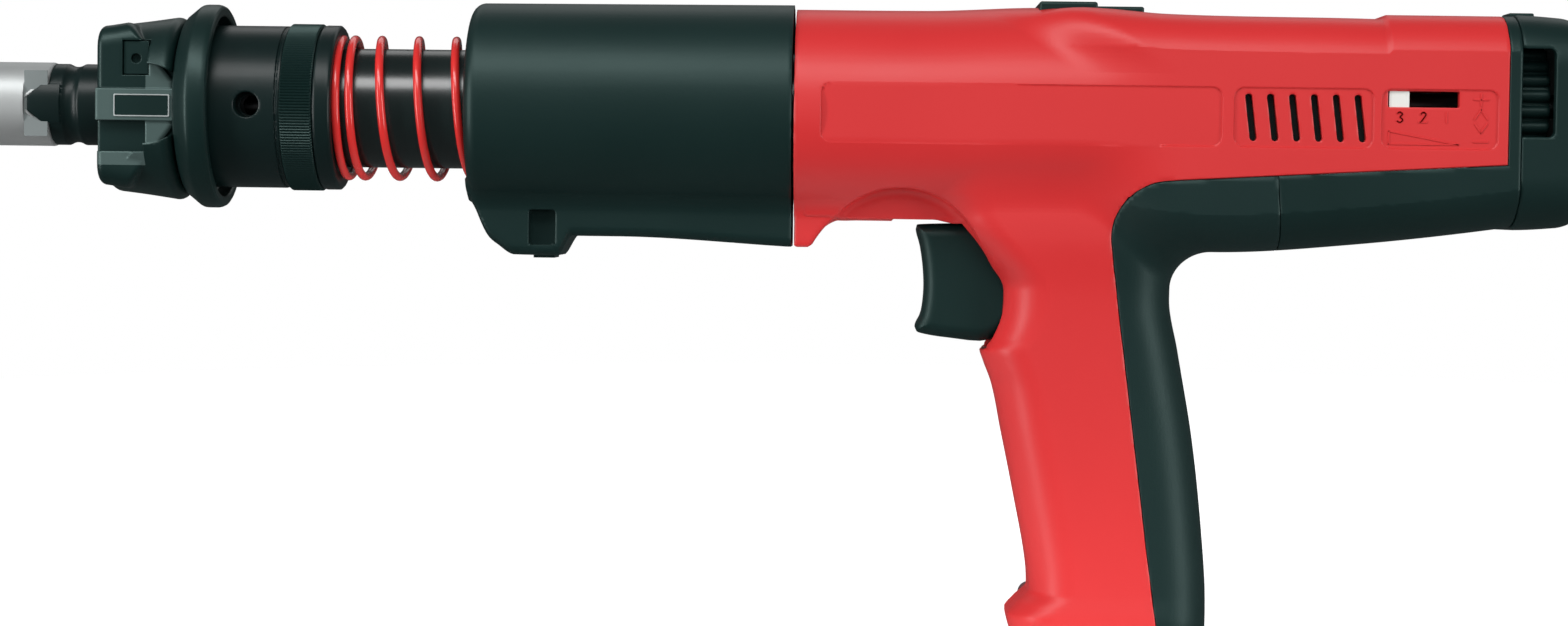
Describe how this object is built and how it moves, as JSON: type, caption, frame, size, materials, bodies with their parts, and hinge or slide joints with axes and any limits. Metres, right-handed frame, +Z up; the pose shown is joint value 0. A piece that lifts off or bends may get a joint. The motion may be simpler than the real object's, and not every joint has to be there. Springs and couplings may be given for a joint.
{
  "type": "powder-actuated nail gun",
  "caption": "Pistol-grip powder-actuated fastening tool with a sprung sliding nose, ribbed power wheel, trigger, rubber-backed grip and a strip channel through the handle.",
  "frame": {"origin": "middle of the hand grip, on the tool's middle plane", "axes": "+Z up, -X towards the muzzle along the barrel, -Y to the user's left, where the power indicator is"},
  "size_m": [0.403, 0.0526, 0.1596],
  "materials": {
    "moulded_red": "satin, fine moulded grain",
    "moulded_black": "satin, fine moulded grain",
    "black_rubber": "soft matt overmould",
    "blackened_steel": "glossy black oxide",
    "grey_steel": "turned and ground",
    "spring_red": "gloss lacquer",
    "spring_steel": "bright wire",
    "nickel_steel": "satin nickel",
    "bronze_ring": "as turned",
    "label_grey": "printed plate",
    "indicator_white": "smooth",
    "bumper_rubber": "dense"
  },
  "bodies": {
    "housing": {"housing_left": "moulded_red", "housing_right": "moulded_red", "housing_screws": "grey_steel", "grip_strap": "black_rubber", "grip_foot": "moulded_black", "rear_lower_cover": "moulded_black", "rear_cap": "moulded_black", "front_sleeve": "moulded_black", "spring_seat": "grey_steel", "receiver_sleeve": "grey_steel", "strip_channel": "blackened_steel", "strip_exit_block": "moulded_black", "breech_block": "grey_steel", "striker_tube": "grey_steel", "striker_spring": "spring_steel", "striker_tube_clamp": "moulded_black", "chassis_plates": "grey_steel", "trigger_pin": "grey_steel", "trigger_spring": "spring_steel", "sear_pin": "grey_steel", "sear_spring": "spring_steel", "feed_pawl_pin": "grey_steel", "regulator_bearing": "moulded_black", "vent_screens": "blackened_steel", "nose_spring": "spring_red", "release_button_spring": "spring_steel"},
    "nose": {"nose_tip": "grey_steel", "stud_guide": "blackened_steel", "guide_cover": "moulded_black", "label_plates": "label_grey", "nose_flange": "moulded_black", "locating_collar": "blackened_steel", "knurled_ring": "blackened_steel", "piston_guide_tube": "blackened_steel", "retaining_ring": "spring_steel", "cartridge_chamber": "grey_steel", "piston_buffer": "bumper_rubber", "buffer_stop_ring": "grey_steel", "guide_latch_spring": "spring_steel"},
    "piston_body": {"piston": "grey_steel", "piston_rings": "bronze_ring"},
    "latch": {"guide_latch": "nickel_steel"},
    "striker_body": {"striker": "grey_steel"},
    "trigger_body": {"trigger": "moulded_black"},
    "trigger_link": {"trigger_bar": "grey_steel"},
    "sear_body": {"sear": "grey_steel"},
    "pawl": {"feed_pawl": "grey_steel"},
    "regulator": {"regulator_wheel": "moulded_black", "regulator_spindle": "grey_steel"},
    "indicator": {"power_indicator": "indicator_white"},
    "wheel_lock": {"wheel_lock_button": "moulded_black"},
    "barrel_release": {"release_button": "moulded_black"}
  },
  "joints": [
    {"name": "nose_press", "type": "slide", "parent": "housing", "child": "nose", "axis": [1, 0, 0], "range_m": [0, 0.016], "stiffness_N_per_m": 3000, "springref_m": -0.02, "deforming": ["nose_spring"]},
    {"name": "piston_stroke", "type": "slide", "parent": "nose", "child": "piston_body", "axis": [-1, 0, 0], "range_m": [0, 0.0295]},
    {"name": "guide_latch_push", "type": "slide", "parent": "nose", "child": "latch", "axis": [0, 1, 0], "range_m": [0, 0.001], "stiffness_N_per_m": 1500, "springref_m": -0.0005, "deforming": ["guide_latch_spring"]},
    {"name": "striker_stroke", "type": "slide", "parent": "housing", "child": "striker_body", "axis": [1, 0, 0], "range_m": [0, 0.01], "stiffness_N_per_m": 2500, "springref_m": -0.002, "deforming": ["striker_spring"]},
    {"name": "trigger_pull", "type": "hinge", "parent": "housing", "child": "trigger_body", "pos_m": [-0.03, 0, 0.063], "axis": [0, -1, 0], "range_deg": [0, 9], "stiffness_Nm_per_rad": 1.2, "springref_deg": -5.73, "deforming": ["trigger_spring"]},
    {"name": "trigger_bar_slide", "type": "slide", "parent": "housing", "child": "trigger_link", "axis": [-1, 0, 0], "range_m": [0, 0.00086]},
    {"name": "sear_release", "type": "hinge", "parent": "housing", "child": "sear_body", "pos_m": [0.03, 0, 0.064], "axis": [0, -1, 0], "range_deg": [0, 11.2], "deforming": ["sear_spring"]},
    {"name": "feed_pawl_swing", "type": "hinge", "parent": "housing", "child": "pawl", "pos_m": [-0.02, 0, 0.068], "axis": [0, -1, 0], "range_deg": [0, 8]},
    {"name": "regulator_turn", "type": "hinge", "parent": "housing", "child": "regulator", "pos_m": [0.1037, 0, 0.092], "axis": [1, 0, 0], "range_deg": [0, 270]},
    {"name": "indicator_slide", "type": "slide", "parent": "housing", "child": "indicator", "axis": [1, 0, 0], "range_m": [0, 0.012]},
    {"name": "wheel_lock_press", "type": "slide", "parent": "housing", "child": "wheel_lock", "axis": [0, 0, -1], "range_m": [0, 0.001], "stiffness_N_per_m": 1500, "springref_m": -0.0005},
    {"name": "barrel_release_press", "type": "slide", "parent": "housing", "child": "barrel_release", "axis": [0, 0, 1], "range_m": [0, 0.0025], "stiffness_N_per_m": 1200, "springref_m": -0.001, "deforming": ["release_button_spring"]}
  ],
  "couplings": [
    {"joint": "trigger_bar_slide", "follows": "trigger_pull", "m_per_rad": 0.0054},
    {"joint": "sear_release", "follows": "trigger_pull", "ratio": 1.23},
    {"joint": "feed_pawl_swing", "follows": "nose_press", "rad_per_m": 8.7},
    {"joint": "indicator_slide", "follows": "regulator_turn", "m_per_rad": 0.002546}
  ]
}
